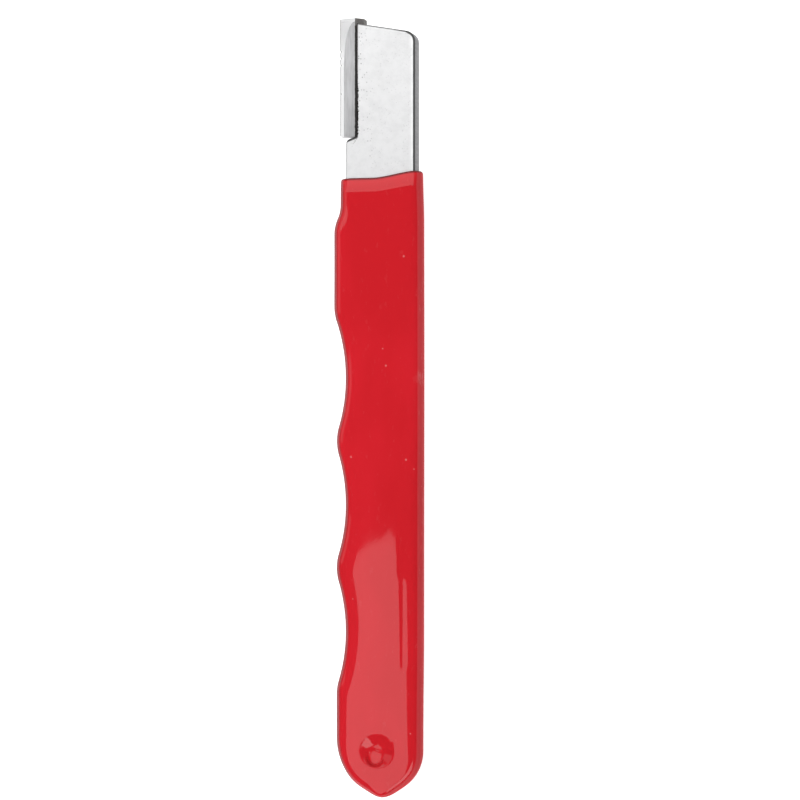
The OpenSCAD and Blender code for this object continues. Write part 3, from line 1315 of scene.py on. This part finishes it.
@dataclass
class SteelBody:
    """Stamped strip with a notch and a slot for the insert, and a scalloped tang.

    Attributes:
        datum: the tool's place in the frame.
        outline: outline of the grip that covers the tang.
        thick: thickness of the strip.
        lift: height of the strip's back.
        tip_y: top of the strip at the notch.
        slope: fall of the top edge in degrees.
        corner_r: radius of the far top corner.
        notch_x: x of the notch's wall.
        notch_y: y of the notch's floor.
        notch_slope: fall of that floor in degrees.
        lip_r: radius of the notch's lip.
        slot_x: x of the slot's floor.
        slot_t: width of the slot.
        hole_r: radius of the hang hole.
        roll_edge: rounding that stamping leaves on the front edges.
        corner_roll: how much further it pulls down the far top corner.
        corner_reach: distance over which that fades.
        corner_drop: height of the notch's tip above that corner.
        face_rings: distances between the rings just inside the front edge.
        shoulder_span: heights of the tang's shoulder above the grip's.
        butt_rise: height above the hang hole at which the tang's widest part starts.
        soot_shade_h: height above the notch's floor at which the sooty, shaded band narrows.
        back_edge: rounding of the back edges.
    """

    datum: Datum
    outline: GripOutline
    thick: float = 3.5
    lift: float = 0.65
    tip_y: float = 119.08
    slope: float = 9.7
    corner_r: float = 1.6
    notch_x: float = -3.705
    notch_y: float = 101.72
    notch_slope: float = 19.5
    lip_r: float = 0.95
    slot_x: float = -2.575
    slot_t: float = 2.2
    hole_r: float = 3.2
    roll_edge: float = 0.3
    corner_roll: float = 0.42
    corner_reach: float = 1.5
    corner_drop: float = 2.0
    face_rings: tuple[float, ...] = (0.32, 0.12)
    shoulder_span: tuple[float, float] = (1.0, 3.8)
    butt_rise: float = 5.4
    soot_shade_h: float = 9.0
    back_edge: float = 0.08

    def plan(self) -> list[tuple[float, float]]:
        """Lists the strip's outline, counter-clockwise from the butt's finger side.

        Returns:
            The outline's points.
        """
        shape = self.outline
        half = shape.half_width
        tilt, fall = math.radians(self.slope), math.radians(self.notch_slope)
        far_x = half - self.corner_r
        far_y = self.tip_y - (far_x - self.notch_x) * math.tan(tilt)
        far_y -= self.corner_r / math.cos(tilt)
        lip_x = self.lip_r - half
        lip_y = self.notch_y - (self.notch_x - lip_x) * math.tan(fall) - self.lip_r / math.cos(fall)
        points = arc(0.0, shape.hole_y, half, 180.0, 360.0, 40)
        points += arc(far_x, far_y, self.corner_r, 0.0, 90.0 - self.slope, 12)
        points += [(self.notch_x, self.tip_y), (self.notch_x, self.notch_y)]
        points += arc(lip_x, lip_y, self.lip_r, 90.0 + self.notch_slope, 180.0, 6)
        start, end = (shape.shoulder_y + up for up in self.shoulder_span)
        points += [(-half, end), (-half - shape.top_crest_out, start)]
        radius = shape.scallop_r + shape.coat
        centre = -shape.valley - shape.scallop_r
        for i in reversed(range(shape.scallops)):
            high = shape.top_crest_out if i == shape.scallops - 1 else shape.crest_out
            up, down = (
                math.degrees(math.acos((-half - out - centre) / radius))
                for out in (high, shape.crest_out)
            )
            points += arc(centre, shape.scallop_y + i * shape.pitch, radius, up, -down, 24)
        return [*points, (-half - shape.crest_out, shape.hole_y + self.butt_rise)]

    def build(self) -> bpy.types.Object:
        """Makes the strip.

        Returns:
            The strip's piece.
        """
        bm = bmesh.new()
        verts = [bm.verts.new(self.datum.place(x, y, self.lift)) for x, y in self.plan()]
        under = bm.faces.new(verts)
        grown = bmesh.ops.extrude_face_region(bm, geom=[under])["geom"]
        raised = [g for g in grown if isinstance(g, bmesh.types.BMVert)]
        bmesh.ops.translate(bm, verts=raised, vec=(0.0, 0.0, self.thick * MM))
        bmesh.ops.recalc_face_normals(bm, faces=bm.faces)
        top = next(f for f in bm.faces if f.normal.z > 0.9)
        for step in self.face_rings:
            bmesh.ops.inset_region(bm, faces=[top], thickness=step * MM, use_even_offset=True)
        middle = (self.lift + self.thick / 2) * MM
        for side, edge in ((Side.FRONT, self.roll_edge), (Side.BACK, self.back_edge)):
            rim = [
                e
                for e in bm.edges
                if all((v.co.z - middle) * side.value > 0.49 * self.thick * MM for v in e.verts)
                and any(abs(f.normal.z) < 0.5 for f in e.link_faces)
            ]
            bmesh.ops.bevel(
                bm,
                geom=rim,
                offset=edge * MM,
                offset_type="OFFSET",
                affect="EDGES",
                segments=5 if side is Side.FRONT else 3,
                profile=0.5,
                material=-1,
                clamp_overlap=False,
            )
        apex = self.datum.place(
            self.outline.half_width, self.tip_y - self.corner_drop, self.lift + self.thick
        )
        for vert in bm.verts:
            near = math.exp(-(((vert.co - apex).length / (self.corner_reach * MM)) ** 2))
            vert.co.z -= near * self.corner_roll * MM if vert.co.z > middle else 0.0
        body = make_piece(bm, "steel_strip", 40.0)
        for tool in (self.slot_cutter(), self.hole_cutter()):
            carve(body, tool, 40.0)
            discard(tool)
        return body

    def slot_cutter(self) -> bpy.types.Object:
        """Makes the block that cuts the insert's slot."""
        bm = bmesh.new()
        bmesh.ops.create_cube(bm, size=1.0)
        wide, tall = self.slot_x - self.notch_x + 1.0, self.tip_y - self.notch_y + 2.0
        bmesh.ops.scale(bm, verts=bm.verts, vec=Vector((wide, tall, self.slot_t)) * MM)
        centre = self.datum.place(
            self.slot_x - wide / 2, self.notch_y + tall / 2, self.lift + self.thick / 2
        )
        bmesh.ops.translate(bm, verts=bm.verts, vec=centre)
        return make_piece(bm, "slot_cutter")

    def hole_cutter(self) -> bpy.types.Object:
        """Makes the punch that cuts the hang hole."""
        bm = bmesh.new()
        bmesh.ops.create_cone(
            bm,
            cap_ends=True,
            segments=64,
            radius1=self.hole_r * MM,
            radius2=self.hole_r * MM,
            depth=(self.thick + 2.0) * MM,
        )
        centre = self.datum.place(0.0, self.outline.hole_y, self.lift + self.thick / 2)
        bmesh.ops.translate(bm, verts=bm.verts, vec=centre)
        return make_piece(bm, "hole_cutter")

    def dress(self, body: bpy.types.Object) -> None:
        """Gives the strip its finish and its place in the frame."""
        low, high = self.notch_y, self.notch_y + self.soot_shade_h
        finish = PlatedSteel(self.datum, self.notch_x, self.notch_slope, low, high)
        give_finish(body, finish.material())
        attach(body, "root")
        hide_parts("steel_body")


@dataclass
class CarbideInsert:
    """Ground bar whose side bevel sweeps over its top.

    Attributes:
        datum: the tool's place in the frame.
        x0: x of the cutting edge.
        x1: x of the root.
        y0: y of the lower end.
        y1: y of the upper end.
        middle: height of the middle of its thickness.
        thick: thickness.
        land: thickness left at the cutting edge.
        bevel_w: width of the side bevel.
        sweep_w: width of the ellipse that the bevel follows.
        sweep_h: height of that ellipse.
        ground_to: x at which the grinding stops.
        nicks: height and depth of each nick in the cutting edge.
        nick_w: half width of a nick.
        corners: slope of the root's top, and what is ground off the edge's foot and top.
        worn: rounding of the edges.
        steps: rings along the bar.
    """

    datum: Datum
    x0: float
    x1: float
    y0: float
    y1: float
    middle: float
    thick: float = 2.0
    land: float = 0.4
    bevel_w: float = 0.8
    sweep_w: float = 1.74
    sweep_h: float = 6.6
    ground_to: float = -4.1
    nicks: tuple[tuple[float, float], ...] = (
        (108.4, 0.06),
        (112.8, 0.09),
        (113.9, 0.15),
        (114.9, 0.11),
    )
    nick_w: float = 0.13
    corners: tuple[float, float, float] = (0.14, 0.25, 0.16)
    worn: float = 0.03
    steps: int = 240

    def bevel_at(self, y: float) -> float:
        """Tells where the bevel meets the front face at a height."""
        start = self.y1 - 0.54 - self.sweep_h
        up = min(max((y - start) / self.sweep_h, 0.0), 1.0)
        return self.x0 + self.bevel_w + self.sweep_w * (1 - math.sqrt(1 - up * up))

    def row(self, y: float) -> list[Vector]:
        """Places one ring of the bar.

        Args:
            y: height of the ring.

        Returns:
            Its spots, round from the cutting edge's back.
        """
        nick = sum(deep * math.exp(-(((y - at) / self.nick_w) ** 2)) for at, deep in self.nicks)
        edge, meet = self.x0 + nick, self.bevel_at(y)
        land, face = self.land / 2, self.thick / 2
        loop = [
            (edge, -land),
            (meet, -face),
            (blend(meet, self.x1, 0.5), -face),
            (self.x1, -face),
            (self.x1, face),
            (blend(meet, self.x1, 0.5), face),
            (meet, face),
            (edge, land),
        ]
        return [self.datum.place(x, y, self.middle + z) for x, z in loop]

    def build(self) -> bpy.types.Object:
        """Makes the bar.

        Returns:
            The bar's piece.
        """
        bm = sweep_bar([self.row(y) for y in spread(self.y0, self.y1, self.steps)])
        root, foot, top = self.corners
        for spot, way in (
            ((self.ground_to, self.y1), (root, 1.0)),
            ((self.x0, self.y0 + foot), (-1.0, -1.0)),
            ((self.x0, self.y1 - top), (-1.0, 1.0)),
        ):
            self.trim(bm, spot, way)
        bar = make_piece(bm, "carbide_bar", 15.0)
        worn = bar.modifiers.new("worn_edges", "BEVEL")
        worn.width = self.worn * MM
        worn.segments = 2
        worn.limit_method = "ANGLE"
        worn.angle_limit = math.radians(14.0)
        worn.use_clamp_overlap = True
        settle(bar)
        soften(bar, 8.0)
        return bar

    def trim(
        self, bm: bmesh.types.BMesh, spot: tuple[float, float], way: tuple[float, float]
    ) -> None:
        """Cuts a corner off the bar and closes the cut.

        Args:
            bm: mesh being built.
            spot: point that the cut passes through.
            way: direction in plan of what is cut off.
        """
        cut = bmesh.ops.bisect_plane(
            bm,
            geom=[*bm.verts, *bm.edges, *bm.faces],
            plane_co=self.datum.place(*spot, self.middle),
            plane_no=Vector((*way, 0.0)).normalized(),
            clear_outer=True,
            dist=1e-8,
        )["geom_cut"]
        bmesh.ops.contextual_create(bm, geom=[g for g in cut if isinstance(g, bmesh.types.BMEdge)])

    def dress(self, bar: bpy.types.Object) -> None:
        """Gives the bar its finish and its place in the frame."""
        chips = tuple(y for y, _ in self.nicks)
        finish = GroundCarbide(self.datum, self.ground_to, self.x0, chips)
        give_finish(bar, finish.material())
        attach(bar, "root")
        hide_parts("carbide_insert")


@dataclass
class BrazeJoint:
    """Film of braze in the slot, with a fillet along each lip.

    Attributes:
        datum: the tool's place in the frame.
        lip_x: x of the slot's lips.
        floor_x: x of the slot's floor.
        bar_x: x of the insert's root.
        y0: lower end.
        y1: upper end.
        middle: height of the middle of the slot.
        bar_t: thickness of the insert.
        slot_t: width of the slot.
        fillet_w: width of a fillet.
        fillet_h: height of a fillet.
        ragged_w: share by which its width varies.
        ragged_h: share by which its height varies.
        steps: rings along the joint.
    """

    datum: Datum
    lip_x: float
    floor_x: float
    bar_x: float
    y0: float
    y1: float
    middle: float
    bar_t: float = 2.0
    slot_t: float = 2.2
    fillet_w: float = 0.42
    fillet_h: float = 0.42
    ragged_w: float = 0.16
    ragged_h: float = 0.2
    steps: int = 120

    def lip(self, y: float, side: Side) -> list[tuple[float, float]]:
        """Shapes one fillet at a height, from the insert's face to the slot's lip.

        Args:
            y: height.
            side: face of the tool.

        Returns:
            Its x and z, with z from the middle.
        """
        ragged = noise.noise(Vector((4.0, y * 1.7, side.value * 3.0))) + 0.5 * noise.noise(
            Vector((8.0, y * 5.5, side.value * 3.0))
        )
        wide = self.fillet_w * (1 + self.ragged_w * ragged)
        tall = self.fillet_h * (1 + self.ragged_h * ragged)
        face = self.bar_t / 2
        bow = [(1.0, 0.0), (0.62, 0.14), (0.32, 0.38), (0.12, 0.68), (0.0, 1.0)]
        return [(self.lip_x - wide * a, side.value * (face + tall * b)) for a, b in bow]

    def row(self, y: float) -> list[Vector]:
        """Places one ring of the joint.

        Args:
            y: height of the ring.

        Returns:
            Its spots, along the outside and back along the insert.
        """
        half, face = self.slot_t / 2, self.bar_t / 2
        loop = [
            *self.lip(y, Side.FRONT),
            (self.lip_x, half),
            (self.floor_x, half),
            (self.floor_x, -half),
            (self.lip_x, -half),
            *reversed(self.lip(y, Side.BACK)),
            (self.bar_x, -face),
            (self.bar_x, face),
        ]
        return [self.datum.place(x, y, self.middle + z) for x, z in loop]

    def build(self) -> bpy.types.Object:
        """Makes the joint.

        Returns:
            The joint's piece.
        """
        bm = sweep_bar([self.row(y) for y in spread(self.y0, self.y1, self.steps)])
        return make_piece(bm, "braze_fillets", 40.0)

    def dress(self, joint: bpy.types.Object) -> None:
        """Gives the joint its finish and its place in the frame."""
        give_finish(joint, SootyBraze().material())
        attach(joint, "root")
        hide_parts("braze_joint")


@dataclass(frozen=True)
class Lamp:
    """Soft box.

    Attributes:
        name: its name.
        at: place, in metres.
        size: width and height, in metres.
        tilt: turn about x, y and z, in degrees; unturned it faces down.
        glow: brightness of its face, where 1 shows as white.
        mirrored: whether glossy surfaces show it.
    """

    name: str
    at: tuple[float, float, float]
    size: tuple[float, float]
    tilt: tuple[float, float, float]
    glow: float
    mirrored: bool = True

    def light(self) -> bpy.types.Object:
        """Hangs the lamp.

        Returns:
            The light's object.
        """
        data = bpy.data.lights.new(self.name, "AREA")
        data.shape = "RECTANGLE"
        data.size, data.size_y = self.size
        data.energy = self.glow * math.pi * self.size[0] * self.size[1]
        lamp = bpy.data.objects.new(self.name, data)
        lamp.location = self.at
        lamp.rotation_euler = [math.radians(a) for a in self.tilt]
        lamp.visible_camera = False
        lamp.visible_glossy = self.mirrored
        bpy.context.scene.collection.objects.link(lamp)
        return lamp


@dataclass
class Studio:
    """Pale table, dark ceiling with soft boxes, and a long lens looking down.

    Attributes:
        lens: focal length in millimetres.
        distance: camera to aim point, in metres.
        yaw: how far the camera stands to the right, in degrees.
        aim: point looked at, in metres.
        haze: heights between which the room darkens, as sines of the angle above level.
        room: brightness below and above them.
    """

    lens: float = 120.0
    distance: float = 0.4103
    yaw: float = 12.5
    aim: tuple[float, float, float] = (0.0033, 0.00114, 0.0024)
    haze: tuple[float, float] = (0.02, 0.35)
    room: tuple[float, float] = (0.35, 0.07)

    def camera(self) -> bpy.types.Object:
        """Sets the camera over the front face.

        Returns:
            The camera's object.
        """
        data = bpy.data.cameras.new("camera")
        data.lens = self.lens
        data.sensor_width = 36.0
        data.clip_start = 0.01
        eye = bpy.data.objects.new("camera", data)
        turn = math.radians(self.yaw)
        away = Vector((math.sin(turn), 0.0, math.cos(turn)))
        eye.location = Vector(self.aim) + self.distance * away
        eye.rotation_euler = (0.0, turn, 0.0)
        bpy.context.scene.collection.objects.link(eye)
        bpy.context.scene.camera = eye
        return eye

    def table(self) -> bpy.types.Object:
        """Lays the pale table under the tool.

        Returns:
            The table's object.
        """
        bm = bmesh.new()
        bmesh.ops.create_grid(bm, x_segments=2, y_segments=2, size=3.0)
        bmesh.ops.translate(bm, verts=bm.verts, vec=(0.0, 0.0, -0.02 * MM))
        table = make_piece(bm, "table")
        bench = Bench("pale_table")
        bench.set(Base_Color=(0.6, 0.6, 0.6, 1.0), Roughness=0.9, Specular_IOR_Level=0.1)
        bench.set(Emission_Color=(1.0, 1.0, 1.0, 1.0), Emission_Strength=0.75)
        give_finish(table, bench.material)
        return table

    def sky(self) -> None:
        """Makes the room: dim at the horizon, dark overhead."""
        world = bpy.data.worlds.new("room")
        world.use_nodes = True
        tree = world.node_tree
        coords = tree.nodes.new("ShaderNodeTexCoord")
        split = tree.nodes.new("ShaderNodeSeparateXYZ")
        fade = tree.nodes.new("ShaderNodeMapRange")
        fade.interpolation_type = "SMOOTHSTEP"
        for socket, value in zip(fade.inputs[1:5], (*self.haze, *self.room), strict=True):
            socket.default_value = value
        tree.links.new(coords.outputs["Generated"], split.inputs[0])
        tree.links.new(split.outputs[2], fade.inputs[0])
        tree.links.new(fade.outputs[0], tree.nodes["Background"].inputs["Color"])
        bpy.context.scene.world = world

    def lamps(self) -> list[bpy.types.Object]:
        """Hangs the soft boxes.

        Returns:
            Their objects.
        """
        boxes = (
            Lamp("grip_box", (-0.0841, -0.1882, 0.305), (0.22, 0.22), (0.0, 0.0, 38.5), 2.0),
            Lamp("tip_box", (-0.06, 0.245, 0.305), (0.6, 0.34), (0.0, 0.0, 0.0), 1.75),
            Lamp("butt_box", (0.20, -0.30, 0.28), (0.24, 0.24), (50.0, 0.0, 34.0), 3.4),
            Lamp("left_box", (-0.40, 0.09, 0.24), (0.2, 0.22), (0.0, -60.0, 0.0), 0.9),
            Lamp("fill", (-0.30, 0.0, 1.0), (1.5, 1.5), (0.0, -16.0, 0.0), 0.84, False),
        )
        return [box.light() for box in boxes]

    def build(self) -> None:
        """Sets up the whole studio."""
        bpy.context.scene.view_settings.view_transform = "Standard"
        self.camera()
        self.table()
        self.sky()
        self.lamps()


def main() -> None:
    """Builds the studio and each sub-assembly in turn, and reports every piece."""
    logging.basicConfig(level=logging.INFO, format="%(name)s: %(message)s")
    Studio().build()
    outline = GripOutline()
    datum = Datum.from_steel(outline.half_width, outline.hole_y - outline.half_width)
    low, high = (
        [corner[0] / MM - datum.x, corner[1] / MM - datum.y, corner[2] / MM]
        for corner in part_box("carbide_insert")
    )

    strip = SteelBody(datum, outline)
    body = strip.build()
    insert = CarbideInsert(
        datum, low[0], high[0], low[1], high[1], (low[2] + high[2]) / 2, high[2] - low[2]
    )
    bar = insert.build()
    braze = BrazeJoint(
        datum,
        strip.notch_x,
        strip.slot_x,
        insert.x1,
        strip.notch_y,
        strip.tip_y - 0.25,
        insert.middle,
        insert.thick,
        strip.slot_t,
    )
    joint = braze.build()
    grip_maker = VinylGrip(datum, outline)
    grip = grip_maker.build(body)
    for maker, piece in ((strip, body), (insert, bar), (braze, joint), (grip_maker, grip)):
        maker.dress(piece)
        piece.data.calc_loop_triangles()
        log.info("%s: %d triangles", piece.name, len(piece.data.loop_triangles))


if __name__ == "__main__":
    main()
